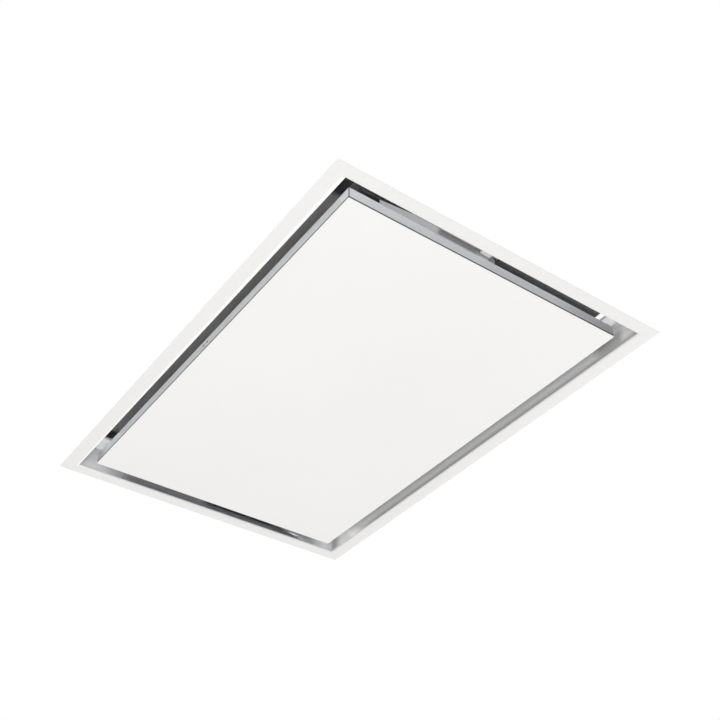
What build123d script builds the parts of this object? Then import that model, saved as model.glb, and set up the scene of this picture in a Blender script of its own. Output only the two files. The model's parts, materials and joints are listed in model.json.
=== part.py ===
from build123d import *
import math
import os

# A flush ceiling range hood with edge suction round a hinged panel.
# Frame: origin at the centre of the flange's lower face, +X along the long side, +Z up into the ceiling.

# ---- driving dimensions, millimetres ----
flange_x, flange_y = 1000.0, 680.0      # outer size of the ceiling flange
opening_x, opening_y = 950.0, 622.0     # clear opening inside the flange's lip
opening_mid = 2.0                       # the face is wider along the hinge side, so the opening sits this far off centre
sheet = 1.5                             # flange sheet
lip_h = 4.2                             # turned-up lip round the opening
bend_r = 3.5                            # outside radius of the lip's bend
panel_x, panel_y = 893.0, 567.0         # white face of the panel
face_t = 1.0                            # panel face plate
gasket_t = 2.5                          # gasket between face and tray
tray_t = 0.8                            # tray sheet
tray_top = 24.0                         # upper edge of the tray's sides
deck_z = 46.0                           # underside of the filter deck
deck_t = 1.2
liner_x, liner_y = 477.0, 315.0         # inner faces of the liner walls
liner_break = 30.0                      # height where the short walls lean inwards
liner_top_x = 464.8                     # where the leaning part meets the deck
plenum_x, plenum_y = 412.0, 280.0       # half sizes of the plenum casing
plenum_top_z = 110.0
box_x, box_y = 280.0, 200.0             # half sizes of the motor box
box_top_z = 268.0
hinge_y, hinge_z = -275.0, 15.0         # panel hinge axis
hinge_x = 325.0                         # middle of each hinge, either side of centre
stud_y, stud_z = -212.0, 22.0           # stay stud in the panel
stay_y, stay_z = -6.0, 34.0             # slider end of the stay at rest
window_x = (-267.5, 0.0, 267.5)         # middles of the three filter windows
window_w, window_l = 255.0, 440.0
fan_x, fan_y = 90.0, -60.0              # fan axis
fan_r = 88.0
duct_z = 190.0                          # height of the outlet duct's axis
duct_r = 75.0                           # outside radius of the duct collar
damper_x = -290.0                       # damper pin's distance along the duct

os.makedirs("parts", exist_ok=True)
out = []

# ---- ceiling flange: flat ring with a turned-up lip ----
with BuildPart() as ceiling_flange:
    with BuildSketch():
        RectangleRounded(flange_x, flange_y, 2)
        with Locations((0, opening_mid)):
            Rectangle(opening_x, opening_y, mode=Mode.SUBTRACT)
    extrude(amount=sheet)
    with BuildSketch():
        with Locations((0, opening_mid)):
            Rectangle(opening_x + 2 * sheet, opening_y + 2 * sheet)
            Rectangle(opening_x, opening_y, mode=Mode.SUBTRACT)
    extrude(amount=lip_h)
    low = ceiling_flange.edges().filter_by_position(Axis.Z, -0.01, 0.01)
    inner = [e for e in low if abs(e.center().X) < opening_x / 2 + 1 and abs(e.center().Y - opening_mid) < opening_y / 2 + 1]
    fillet(inner, bend_r)
out.append((ceiling_flange, "ceiling_flange"))

# ---- recess liner: four separate stainless walls standing on the flange ----
for side, name in ((-1, "liner_wall_front"), (1, "liner_wall_rear")):
    with BuildPart() as wall:
        with BuildSketch(Plane.XZ.offset(-side * liner_y) if side > 0 else Plane.XZ.offset(liner_y)):
            with BuildLine():
                Polyline((-liner_x, sheet), (liner_x, sheet), (liner_x, liner_break), (liner_top_x, deck_z), (-liner_top_x, deck_z), (-liner_x, liner_break), close=True)
            make_face()
        extrude(amount=-side * 1.0)
        with Locations((0, side * (liner_y + 7), sheet + 0.5)):
            Box(2 * liner_x, 12, 1)
    out.append((wall, name))
for side, name in ((-1, "liner_wall_left"), (1, "liner_wall_right")):
    with BuildPart() as wall:
        with BuildSketch(Plane.XZ):
            with BuildLine():
                Polyline((side * 490, sheet), (side * liner_x, sheet), (side * liner_x, liner_break), (side * liner_top_x, deck_z), (side * (liner_top_x + 1.3), deck_z), (side * (liner_x + 1), liner_break + 0.4), (side * (liner_x + 1), sheet + 1), (side * 490, sheet + 1), close=True)
            make_face()
        extrude(amount=liner_y, both=True)
    out.append((wall, name))

# ---- filter deck: polished plate with three windows ----
screws_deck = [(x, y) for x in (-350, -120, 120, 350) for y in (-287, 287)] + [(x, y) for x in (-419, 419) for y in (-110, 110)]
with BuildPart() as filter_deck:
    with BuildSketch(Plane.XY.offset(deck_z)):
        Rectangle(2 * (liner_top_x + 0.7), 2 * (liner_y + 1))
        with Locations([(x, 0) for x in window_x]):
            Rectangle(window_w, window_l, mode=Mode.SUBTRACT)
        with Locations(screws_deck):
            Circle(1.8, mode=Mode.SUBTRACT)
    extrude(amount=deck_t)
out.append((filter_deck, "filter_deck"))

# ---- soft lining strips under the deck, along the two short sides ----
with BuildPart() as lining_strips:
    with Locations((425, 0, deck_z - 3), (-425, 0, deck_z - 3)):
        Box(30, 510, 6)
    with Locations((446, 140, deck_z - 3), (-446, 140, deck_z - 3)):
        Box(12, 230, 6)
out.append((lining_strips, "lining_strips"))

# ---- hinged panel ----
with BuildPart() as panel_face:
    with BuildSketch():
        RectangleRounded(panel_x, panel_y, 1.2)
    extrude(amount=face_t)
    fillet(panel_face.faces().sort_by(Axis.Z)[0].edges(), 0.4)
out.append((panel_face, "panel_face"))

with BuildPart() as panel_gasket:
    with BuildSketch(Plane.XY.offset(face_t)):
        RectangleRounded(panel_x - 0.6, panel_y - 0.6, 1)
        Rectangle(panel_x - 36, panel_y - 36, mode=Mode.SUBTRACT)
    extrude(amount=gasket_t)
out.append((panel_gasket, "panel_gasket"))

tray_z = face_t + gasket_t
tray_hx, tray_hy = panel_x / 2 - 0.5, panel_y / 2 - 0.5
rivets = [(x, y) for x in (-6.5, 6.5) for y in (-1, 1)]
with BuildPart() as panel_tray:
    with BuildSketch(Plane.XY.offset(tray_z)):
        RectangleRounded(2 * tray_hx, 2 * tray_hy, 1)
    extrude(amount=tray_top - tray_z)
    with BuildSketch(Plane.XY.offset(tray_z + tray_t)):
        Rectangle(2 * (tray_hx - tray_t), 2 * (tray_hy - tray_t))
    extrude(amount=tray_top, mode=Mode.SUBTRACT)
    for x, y in rivets:
        with Locations(Location((x, y * tray_hy, 13.4), (90, 0, 0))):
            Cylinder(1.6, 6, mode=Mode.SUBTRACT)
out.append((panel_tray, "panel_tray"))

floor_z = tray_z + tray_t
with BuildPart() as tray_lining:
    with Locations((222, 0, floor_z + 1), (-222, 0, floor_z + 1)):
        Box(416, 500, 2)
out.append((tray_lining, "tray_lining"))

inner_y = tray_hy - tray_t
with BuildPart() as panel_stiffener:
    with BuildSketch(Plane.XZ):
        with BuildLine():
            Polyline((-10, floor_z), (-9, floor_z), (-9, 19), (9, 19), (9, floor_z), (10, floor_z), (10, 20), (-10, 20), close=True)
        make_face()
    extrude(amount=inner_y - 1, both=True)
    with Locations((0, inner_y - 0.5, 12.65), (0, -inner_y + 0.5, 12.65)):
        Box(26, 1, 14.7)
    for x, y in rivets:
        with Locations(Location((x, y * inner_y, 13.4), (90, 0, 0))):
            Cylinder(1.6, 6, mode=Mode.SUBTRACT)
out.append((panel_stiffener, "panel_stiffener"))

# blind rivets: domed head outside, shank through the tray side and the stiffener's end
with BuildPart() as panel_rivets:
    for x, y in rivets:
        with BuildSketch(Plane.XY.offset(13.4)):
            with BuildLine():
                Polyline((x, y * (tray_hy + 1.1)), (x + 1.6, y * (tray_hy + 0.9)), (x + 2.5, y * tray_hy), (x + 1.6, y * tray_hy), (x + 1.6, y * (inner_y - 1)), (x, y * (inner_y - 1)), close=True)
            make_face()
        revolve(axis=Axis((x, 0, 13.4), (0, 1, 0)))
out.append((panel_rivets, "panel_rivets"))

with BuildPart() as strike_plates:
    with Locations((300, inner_y - 0.4, 15.25), (-300, inner_y - 0.4, 15.25)):
        Box(30, 0.8, 14.5)
    with Locations((300, inner_y - 10, 22.1), (-300, inner_y - 10, 22.1)):
        Box(30, 20, 0.8)
out.append((strike_plates, "strike_plates"))

# ---- hinges: ears on the panel, knuckle and leg on the deck, one pin each ----
pin_r, fit = 2.5, 0.06
with BuildPart() as hinge_leaves:
    for s in (-1, 1):
        for x in (s * hinge_x - 11.5, s * hinge_x + 11.5):
            with Locations((x, hinge_y, (floor_z + hinge_z) / 2)):
                Box(3, 12, hinge_z - floor_z)
            with Locations(Location((x, hinge_y, hinge_z), (0, 90, 0))):
                Cylinder(6, 3)
                Cylinder(pin_r + fit, 4, mode=Mode.SUBTRACT)
        with Locations((s * hinge_x, hinge_y, floor_z + 0.6)):
            Box(26, 12, 1.2)
out.append((hinge_leaves, "hinge_leaves"))

with BuildPart() as hinge_brackets:
    for s in (-1, 1):
        with BuildSketch(Plane.YZ.offset(s * hinge_x)):
            with BuildLine():
                Polyline((hinge_y, hinge_z - 3), (hinge_y + 14, hinge_z - 3), (hinge_y + 14, deck_z - 3), (hinge_y + 32, deck_z - 3), (hinge_y + 32, deck_z), (hinge_y + 11, deck_z), (hinge_y + 11, hinge_z + 3), (hinge_y, hinge_z + 3), close=True)
            make_face()
            with Locations((hinge_y, hinge_z)):
                Circle(6)
                Circle(pin_r, mode=Mode.SUBTRACT)
        extrude(amount=9.7, both=True)
out.append((hinge_brackets, "hinge_brackets"))

with BuildPart() as hinge_pins:
    for s in (-1, 1):
        with Locations(Location((s * hinge_x, hinge_y, hinge_z), (0, 90, 0))):
            Cylinder(pin_r, 30)
out.append((hinge_pins, "hinge_pins"))

# ---- magnetic catches on the side away from the hinges ----
with BuildPart() as magnetic_catches:
    with Locations((300, 271, 27.4), (-300, 271, 27.4)):
        Box(24, 16, 9.2)
    fillet(magnetic_catches.edges().filter_by(Axis.Z), 1.5)
out.append((magnetic_catches, "magnetic_catches"))

with BuildPart() as catch_brackets:
    for s in (-1, 1):
        with BuildSketch(Plane.YZ.offset(s * 300)):
            with BuildLine():
                Polyline((281, 32), (281, 33.2), (259, 33.2), (259, deck_z), (240, deck_z), (240, deck_z - 1.2), (257.8, deck_z - 1.2), (257.8, 32), close=True)
            make_face()
        extrude(amount=14, both=True)
out.append((catch_brackets, "catch_brackets"))

# ---- stays: stud in the panel, blade, nylon slider, rail under the deck ----
with BuildPart() as stay_studs:
    for s in (-1, 1):
        with Locations(Location((s * (tray_hx - tray_t - 2.1), stud_y, stud_z), (0, 90, 0))):
            Cylinder(3, 4.2)
        with Locations(Location((s * (tray_hx - tray_t - 4.9), stud_y, stud_z), (0, 90, 0))):
            Cylinder(5.5, 1.4)
out.append((stay_studs, "stay_studs"))

for s, tail in ((-1, "left"), (1, "right")):
    with BuildPart() as stay_blade:
        with BuildSketch(Plane.YZ.offset(s * 443.4)):
            with BuildLine():
                Polyline((-223, 13), (-212, 11), (-6, 25), (13, 27), (13, 38), (0, 43), (-155, 43), (-223, 35), close=True)
            make_face()
            fillet(vertices(), 2)
            with Locations((stud_y, stud_z)):
                Circle(3.06, mode=Mode.SUBTRACT)
        extrude(amount=0.8, both=True)
    out.append((stay_blade, "stay_blade_" + tail))
    with BuildPart() as slider_block:
        with Locations((s * 449.5, -8.5, 36.1)):
            Box(9, 21, 6.2)
        fillet(slider_block.edges().filter_by(Axis.X), 1.2)
        with Locations((s * 449.5, -8.5, 41.9)):
            Box(6.4, 21, 5.6)
    out.append((slider_block, "slider_block_" + tail))

with BuildPart() as stay_rails:
    for s in (-1, 1):
        with Locations((s * 449.5, -40, 45.5)):
            Box(9, 120, 1)
        with Locations((s * 445.5, -40, 42.25), (s * 453.5, -40, 42.25)):
            Box(1, 120, 5.5)
out.append((stay_rails, "stay_rails"))

# ---- grease filters ----
for cx, tail in zip(window_x, ("left", "centre", "right")):
    with BuildPart() as filter_frame:
        with BuildSketch(Plane.XY.offset(41)):
            with Locations((cx, 0)):
                RectangleRounded(253, 438, 3)
            with Locations((cx, 8.5)):
                Rectangle(229, 397, mode=Mode.SUBTRACT)
        extrude(amount=10)
        with Locations((cx, 222.5, 47.95)):
            Box(120, 7, 1.5)
        with Locations((cx, -206, 45.25)):
            Box(32, 20, 8.5, mode=Mode.SUBTRACT)
        with Locations((cx, -217.6, 48.45)):
            Box(20.4, 5.2, 1.9, mode=Mode.SUBTRACT)
    out.append((filter_frame, "filter_frame_" + tail))
    with BuildPart() as filter_latch:
        with Locations((cx, -208.85, 45.25)):
            Box(31.4, 13.7, 7.9)
        with Locations((cx, -204, 40.15)):
            Box(24, 4, 2.3)
        with Locations((cx, -220.85, 48.45)):
            Box(20, 10.3, 1.5)
    out.append((filter_latch, "filter_latch_" + tail))

with BuildPart() as filter_meshes:
    with Locations([(x, 8.5, 46) for x in window_x]):
        Box(229, 397, 6)
out.append((filter_meshes, "filter_meshes"))

# ---- plenum casing on the deck ----
foot_z = deck_z + deck_t
for s, name in ((-1, "plenum_front"), (1, "plenum_rear")):
    with BuildPart() as wall:
        with Locations((0, s * (plenum_y - 0.5), (foot_z + plenum_top_z - 1) / 2)):
            Box(2 * plenum_x, 1, plenum_top_z - 1 - foot_z)
        with Locations((0, s * (plenum_y + 7.5), foot_z + 0.5)):
            Box(2 * plenum_x, 15, 1)
        with Locations([(x, y, foot_z) for x, y in screws_deck if abs(y) > 200]):
            Cylinder(1.8, 5, mode=Mode.SUBTRACT)
    out.append((wall, name))
for s, name in ((-1, "plenum_left"), (1, "plenum_right")):
    with BuildPart() as wall:
        with Locations((s * (plenum_x - 0.5), 0, (foot_z + plenum_top_z - 1) / 2)):
            Box(1, 2 * plenum_y - 2, plenum_top_z - 1 - foot_z)
        with Locations((s * (plenum_x + 7.5), 0, foot_z + 0.5)):
            Box(15, 2 * plenum_y - 2, 1)
        with Locations([(x, y, foot_z) for x, y in screws_deck if abs(y) < 200]):
            Cylinder(1.8, 5, mode=Mode.SUBTRACT)
    out.append((wall, name))

screws_foot = [(x, y) for x in (-240, -80, 80, 240) for y in (-208, 208)] + [(288, -120), (288, 120), (-288, -150), (-288, 150)]
beads = [(330, 0, 400, 90), (372, 0, 400, 90), (0, -248, 480, 0), (0, 248, 480, 0), (-346, -170, 150, 90)]
with BuildPart() as plenum_top:
    with BuildSketch(Plane.XY.offset(plenum_top_z - 1)):
        Rectangle(2 * plenum_x + 2, 2 * plenum_y + 2)
        with Locations((fan_x, fan_y)):
            Circle(96, mode=Mode.SUBTRACT)
        with Locations(screws_foot):
            Circle(1.8, mode=Mode.SUBTRACT)
    extrude(amount=1)
    # rims folded down over the walls
    with BuildSketch(Plane.XY.offset(plenum_top_z - 12)):
        Rectangle(2 * plenum_x + 2, 2 * plenum_y + 2)
        Rectangle(2 * plenum_x + 0.2, 2 * plenum_y + 0.2, mode=Mode.SUBTRACT)
    extrude(amount=11.5)
    # pressed stiffening beads with sloping sides, hollow below
    for bx, by, length, turn in beads:
        with BuildSketch(Plane.XY.offset(plenum_top_z)):
            with Locations((bx, by)):
                SlotOverall(length, 16, rotation=turn)
        extrude(amount=2, taper=45)
        with BuildSketch(Plane.XY.offset(plenum_top_z - 1)):
            with Locations((bx, by)):
                SlotOverall(length - 1, 15, rotation=turn)
        extrude(amount=2, taper=45, mode=Mode.SUBTRACT)
out.append((plenum_top, "plenum_top"))

# ---- four angle brackets for threaded rods ----
with BuildPart() as suspension_brackets:
    for sx in (-1, 1):
        for sy in (-1, 1):
            with Locations((sx * (plenum_x + 1.25), sy * 200, 77.5)):
                Box(2.5, 40, 35)
            with Locations((sx * (plenum_x + 17), sy * 200, 61.25)):
                Box(34, 40, 2.5)
            with Locations((sx * 432, sy * 200, 61.25)):
                Cylinder(4.5, 6, mode=Mode.SUBTRACT)
out.append((suspension_brackets, "suspension_brackets"))

# ---- motor box ----
screws_lid = [(x, y) for x in (-270, 0, 270) for y in (-192, 192)] + [(-272, 0), (272, 0)]
with BuildPart() as motor_box:
    with BuildSketch(Plane.XY.offset(plenum_top_z)):
        Rectangle(2 * box_x, 2 * box_y)
        Rectangle(2 * box_x - 2, 2 * box_y - 2, mode=Mode.SUBTRACT)
    extrude(amount=box_top_z - plenum_top_z)
    # foot flange folded outwards, screwed to the plenum
    with BuildSketch(Plane.XY.offset(plenum_top_z)):
        Rectangle(2 * box_x + 30, 2 * box_y + 30)
        Rectangle(2 * box_x - 2, 2 * box_y - 2, mode=Mode.SUBTRACT)
        with Locations(screws_foot):
            Circle(1.8, mode=Mode.SUBTRACT)
    extrude(amount=1)
    with BuildSketch(Plane.XY.offset(box_top_z - 1)):
        Rectangle(2 * box_x - 1, 2 * box_y - 1)
        Rectangle(2 * box_x - 32, 2 * box_y - 32, mode=Mode.SUBTRACT)
    extrude(amount=1)
    with Locations(Location((-box_x, 0, duct_z), (0, 90, 0))):
        Cylinder(duct_r - 1.5, 20, mode=Mode.SUBTRACT)
    with Locations([(x, y, box_top_z) for x, y in screws_lid]):
        Cylinder(1.8, 5, mode=Mode.SUBTRACT)
out.append((motor_box, "motor_box"))

with BuildPart() as motor_box_lid:
    with BuildSketch(Plane.XY.offset(box_top_z)):
        Rectangle(2 * box_x + 2, 2 * box_y + 2)
        with Locations(screws_lid):
            Circle(1.8, mode=Mode.SUBTRACT)
    extrude(amount=1)
    # rim folded down over the box, open at the outlet plate
    with BuildSketch(Plane.XY.offset(box_top_z - 11)):
        Rectangle(2 * box_x + 2, 2 * box_y + 2)
        Rectangle(2 * box_x + 0.2, 2 * box_y + 0.2, mode=Mode.SUBTRACT)
        with Locations((-box_x, 0)):
            Rectangle(8, 178, mode=Mode.SUBTRACT)
    extrude(amount=11.5)
    # pressed panel with sloping sides, hollow below
    with BuildSketch(Plane.XY.offset(box_top_z + 1)):
        RectangleRounded(440, 290, 30)
    extrude(amount=2, taper=45)
    with BuildSketch(Plane.XY.offset(box_top_z)):
        RectangleRounded(439, 289, 29.5)
    extrude(amount=2, taper=45, mode=Mode.SUBTRACT)
out.append((motor_box_lid, "motor_box_lid"))

with BuildPart() as casing_screws:
    with Locations([(x, y, foot_z + 1 + 1) for x, y in screws_deck]):
        Cylinder(3.8, 2)
    with Locations([(x, y, (deck_z + foot_z + 1) / 2) for x, y in screws_deck]):
        Cylinder(1.8, foot_z + 1 - deck_z)
    with Locations([(x, y, plenum_top_z + 2) for x, y in screws_foot]):
        Cylinder(3.8, 2)
    with Locations([(x, y, plenum_top_z) for x, y in screws_foot]):
        Cylinder(1.8, 2)
    with Locations([(x, y, box_top_z + 2) for x, y in screws_lid]):
        Cylinder(3.8, 2)
    with Locations([(x, y, box_top_z - 2) for x, y in screws_lid]):
        Cylinder(1.8, 6)
out.append((casing_screws, "casing_screws"))

# ---- blower: spiral casing with its outlet towards -X ----
def spiral(mouth_x):
    pts = []
    for k in range(35):
        phi = 110 + 10 * k
        r = 96 + 54 * (phi - 110) / 340
        pts.append((fan_x + r * math.cos(math.radians(phi)), fan_y + r * math.sin(math.radians(phi))))
    return pts + [(mouth_x, 72), (mouth_x, -72)]

for z0, h, hole, name in ((120, 1, 78, "scroll_base"), (259, 1, 5, "scroll_cover")):
    with BuildPart() as plate:
        with BuildSketch(Plane.XY.offset(z0)):
            with BuildLine():
                Polyline(*spiral(-277.5), close=True)
            make_face()
            offset(amount=1.2)
            with Locations((fan_x, fan_y)):
                Circle(hole, mode=Mode.SUBTRACT)
        extrude(amount=h)
    out.append((plate, name))

with BuildPart() as scroll_wall:
    with BuildSketch(Plane.XY.offset(121)):
        with BuildLine():
            Polyline(*spiral(-277.5), close=True)
        make_face()
        offset(amount=1.2)
    extrude(amount=138)
    with BuildSketch(Plane.XY.offset(121)):
        with BuildLine():
            Polyline(*spiral(-285), close=True)
        make_face()
    extrude(amount=138, mode=Mode.SUBTRACT)
out.append((scroll_wall, "scroll_wall"))

with BuildPart() as inlet_ring:
    with BuildSketch(Plane.XZ.offset(-fan_y)):
        with BuildLine():
            Polyline(*[(fan_x + r, z) for r, z in ((112, 108), (112, 109), (95.5, 109), (86, 111.5), (79.5, 115.5), (77.8, 119.5), (77.8, 124), (76.8, 124), (76.8, 119), (78.6, 114.9), (85.4, 110.6), (94, 108))], close=True)
        make_face()
    revolve(axis=Axis((fan_x, fan_y, 0), (0, 0, 1)))
out.append((inlet_ring, "inlet_ring"))

with BuildPart() as blower_feet:
    with Locations((205, -60, 115), (90, -168, 115), (-5, -94.5, 115), (-200, 0, 115)):
        Cylinder(8, 10)
out.append((blower_feet, "blower_feet"))

# ---- fan: drum impeller on the motor's rotor ----
with BuildPart() as fan_impeller:
    with Locations((fan_x, fan_y, 151)):
        Cylinder(fan_r, 2)
    with Locations((fan_x, fan_y, 146)):
        Cylinder(14, 12)
    for z in (127, 233):
        with BuildSketch(Plane.XY.offset(z - 1)):
            with Locations((fan_x, fan_y)):
                Circle(fan_r)
                Circle(71, mode=Mode.SUBTRACT)
        extrude(amount=2)
    with BuildSketch(Plane.XY.offset(127)):
        with Locations((fan_x, fan_y)):
            with PolarLocations(79.5, 28):
                Rectangle(15, 1.4, rotation=38)
    extrude(amount=106)
    with Locations((fan_x, fan_y, 146)):
        Cylinder(4, 20, mode=Mode.SUBTRACT)
out.append((fan_impeller, "fan_impeller"))

with BuildPart() as motor_rotor:
    with Locations((fan_x, fan_y, 197)):
        Cylinder(4, 116)
    with Locations((fan_x, fan_y, 213)):
        Cylinder(25, 46)
out.append((motor_rotor, "motor_rotor"))

with BuildPart() as motor_housing:
    with Locations((fan_x, fan_y, 214)):
        Cylinder(46, 88)
    with Locations((fan_x, fan_y, 258)):
        Cylinder(60, 2)
    with Locations((fan_x, fan_y, 213)):
        Cylinder(43.5, 72, mode=Mode.SUBTRACT)
    with Locations((fan_x, fan_y, 172.5), (fan_x, fan_y, 253)):
        Cylinder(11, 9, mode=Mode.SUBTRACT)
out.append((motor_housing, "motor_housing"))

with BuildPart() as motor_stator:
    with Locations((fan_x, fan_y, 213)):
        Cylinder(43.5, 46)
        Cylinder(26, 46, mode=Mode.SUBTRACT)
out.append((motor_stator, "motor_stator"))

with BuildPart() as motor_bearings:
    with Locations((fan_x, fan_y, 173.5), (fan_x, fan_y, 252.5)):
        Cylinder(11, 7)
        Cylinder(4.05, 7, mode=Mode.SUBTRACT)
out.append((motor_bearings, "motor_bearings"))

with BuildPart() as run_capacitor:
    with Locations((235, 155, plenum_top_z + 35)):
        Cylinder(18, 70)
    fillet(run_capacitor.edges().filter_by(GeomType.CIRCLE), 2)
out.append((run_capacitor, "run_capacitor"))

# ---- outlet plate with the duct collar, and the backdraught damper ----
with BuildPart() as outlet_collar:
    with Locations((-box_x - 1.25, 0, duct_z - 0.5)):
        Box(2.5, 176, 157)
    with Locations(Location((-box_x - 38.5, 0, duct_z), (0, 90, 0))):
        Cylinder(duct_r, 72)
    with Locations(Location((-box_x - 38.5, 0, duct_z), (0, 90, 0))):
        Cylinder(duct_r - 1.5, 90, mode=Mode.SUBTRACT)
    with Locations((damper_x, 0, duct_z)):
        Cylinder(1.5, 170, mode=Mode.SUBTRACT)
out.append((outlet_collar, "outlet_collar"))

with BuildPart() as damper_pin:
    with Locations((damper_x, 0, duct_z)):
        Cylinder(1.5, 149.4)
out.append((damper_pin, "damper_pin"))

for s, knuckles, name in ((1, ((135, 160), (190, 215)), "damper_flap_left"), (-1, ((163, 187), (218, 240)), "damper_flap_right")):
    with BuildPart() as flap:
        with BuildSketch(Plane.YZ.offset(damper_x - 0.5)):
            with Locations((0, duct_z)):
                Circle(72.3)
            with Locations((s * -46, duct_z)):
                Rectangle(100, 160, mode=Mode.SUBTRACT)
            for lo, hi in knuckles:
                with Locations((s * 2.5, (lo + hi) / 2)):
                    Rectangle(5, hi - lo)
        extrude(amount=1)
        for lo, hi in knuckles:
            with Locations((damper_x, 0, (lo + hi) / 2)):
                Cylinder(3.4, hi - lo)
        with Locations((damper_x, 0, duct_z)):
            Cylinder(1.56, 160, mode=Mode.SUBTRACT)
    out.append((flap, name))

# ---- control box on the plenum ----
with BuildPart() as control_box:
    with Locations((-352.5, 175, 133.4)):
        Box(105, 160, 46.8)
    with Locations((-352.5, 175, 135)):
        Box(102.6, 157.6, 47.6, mode=Mode.SUBTRACT)
    with Locations(Location((-405, 225, 136), (0, 90, 0))):
        Cylinder(8, 10, mode=Mode.SUBTRACT)
out.append((control_box, "control_box"))

with BuildPart() as control_box_cover:
    with Locations((-352.5, 175, 157.4)):
        Box(108, 163, 1.2)
out.append((control_box_cover, "control_box_cover"))

with BuildPart() as control_board:
    with Locations((-352.5, 175, 121.8)):
        Box(88, 140, 1.6)
    with Locations([(-352.5 + a * 38, 175 + b * 62, 116.1) for a in (-1, 1) for b in (-1, 1)]):
        Cylinder(3, 9.8)
    with Locations((-370, 205, 131.6)):
        Box(26, 40, 18)
    with Locations((-335, 150, 128.1)):
        Box(20, 16, 11)
    with Locations((-335, 190, 128.1)):
        Box(20, 16, 11)
out.append((control_board, "control_board"))

with BuildPart() as cable_gland:
    for x0, x1, r in ((-403.8, -400, 11), (-411, -405, 11), (-405, -403.8, 8), (-421, -411, 9)):
        with Locations(Location(((x0 + x1) / 2, 225, 136), (0, 90, 0))):
            Cylinder(r, x1 - x0)
    with Locations(Location((-410, 225, 136), (0, 90, 0))):
        Cylinder(4, 40, mode=Mode.SUBTRACT)
out.append((cable_gland, "cable_gland"))

for piece, name in out:
    piece.part.label = name
    export_step(piece.part, "parts/" + name + ".step")

# travel of the stay worked out from the hinge, the stud and the rail's height
arm = math.hypot(stay_y - stud_y, stay_z - stud_z)
a0 = math.degrees(math.atan2(stay_z - stud_z, stay_y - stud_y))
open_y, open_z = hinge_y + (stud_z - hinge_z), hinge_z - (stud_y - hinge_y)
drop = stay_z - open_z
slid = stay_y - (open_y + math.sqrt(arm * arm - drop * drop))
print("nodes", len(out), "blade turn", 90 + math.degrees(math.asin(drop / arm)) - a0, "slider travel", slid)
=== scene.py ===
import bpy, bmesh, math, json, random
import numpy as np
from mathutils import Vector, Matrix, noise


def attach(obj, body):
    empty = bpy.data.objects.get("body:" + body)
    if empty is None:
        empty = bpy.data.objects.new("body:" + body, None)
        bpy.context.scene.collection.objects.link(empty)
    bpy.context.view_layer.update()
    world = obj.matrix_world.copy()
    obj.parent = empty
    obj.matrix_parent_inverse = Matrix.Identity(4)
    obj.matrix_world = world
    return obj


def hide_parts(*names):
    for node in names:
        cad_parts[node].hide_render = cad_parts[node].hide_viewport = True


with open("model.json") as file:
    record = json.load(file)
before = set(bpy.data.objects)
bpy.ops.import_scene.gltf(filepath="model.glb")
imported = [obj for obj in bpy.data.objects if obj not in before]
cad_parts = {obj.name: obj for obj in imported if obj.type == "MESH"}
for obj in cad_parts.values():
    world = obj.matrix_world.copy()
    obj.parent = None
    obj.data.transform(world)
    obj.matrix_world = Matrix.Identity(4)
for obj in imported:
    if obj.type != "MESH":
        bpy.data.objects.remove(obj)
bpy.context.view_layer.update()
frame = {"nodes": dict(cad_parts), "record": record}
scene = bpy.context.scene
nodes = frame["nodes"]
body_of_node = {n: b for b, ns in frame["record"]["behaviour"]["bodies"].items() for n in ns}
random.seed(7)
MM = 0.001

# ------------------------------------------------------------------ camera, the photograph's view
cam_data = bpy.data.cameras.new("camera")
cam = bpy.data.objects.new("camera", cam_data)
scene.collection.objects.link(cam)
cam_data.sensor_fit = "HORIZONTAL"
cam_data.sensor_width = 36.0
cam_data.lens = 55.193
cam_data.clip_start, cam_data.clip_end = 0.05, 60.0
right = Vector((0.57951, 0.81496, 0.00005)).normalized()
ahead = Vector((-0.63481, 0.45137, 0.62713)).normalized()
up = right.cross(ahead).normalized()
right = ahead.cross(up).normalized()
m = Matrix((right, up, -ahead)).transposed().to_4x4()
m.translation = Vector((1.39379, -0.93599, -1.24275))
cam.matrix_world = m
scene.camera = cam

scene.view_settings.view_transform = "Standard"
scene.view_settings.look = "None"
scene.view_settings.exposure = 0.0
scene.view_settings.gamma = 1.0

# ------------------------------------------------------------------ shader helpers
def new_mat(name):
    m = bpy.data.materials.new(name)
    m.use_nodes = True
    nt = m.node_tree
    nt.nodes.clear()
    out = nt.nodes.new("ShaderNodeOutputMaterial")
    bsdf = nt.nodes.new("ShaderNodeBsdfPrincipled")
    nt.links.new(bsdf.outputs[0], out.inputs[0])
    return m, nt, bsdf


def coords(nt, scale=(1, 1, 1), rot=(0, 0, 0)):
    tc = nt.nodes.new("ShaderNodeTexCoord")
    mp = nt.nodes.new("ShaderNodeMapping")
    mp.inputs["Scale"].default_value = scale
    mp.inputs["Rotation"].default_value = rot
    nt.links.new(tc.outputs["Object"], mp.inputs["Vector"])
    return mp.outputs["Vector"]


def noise_tex(nt, vec, scale, detail=3.0, rough=0.5, distort=0.0):
    n = nt.nodes.new("ShaderNodeTexNoise")
    n.inputs["Scale"].default_value = scale
    n.inputs["Detail"].default_value = detail
    n.inputs["Roughness"].default_value = rough
    n.inputs["Distortion"].default_value = distort
    nt.links.new(vec, n.inputs["Vector"])
    return n.outputs["Fac"]


def ramp(nt, fac, stops):
    r = nt.nodes.new("ShaderNodeValToRGB")
    el = r.color_ramp.elements
    while len(el) > len(stops):
        el.remove(el[-1])
    while len(el) < len(stops):
        el.new(0.5)
    for e, (p, c) in zip(el, stops):
        e.position = p
        e.color = (*c, 1.0) if len(c) == 3 else c
    nt.links.new(fac, r.inputs["Fac"])
    return r.outputs["Color"]


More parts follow.
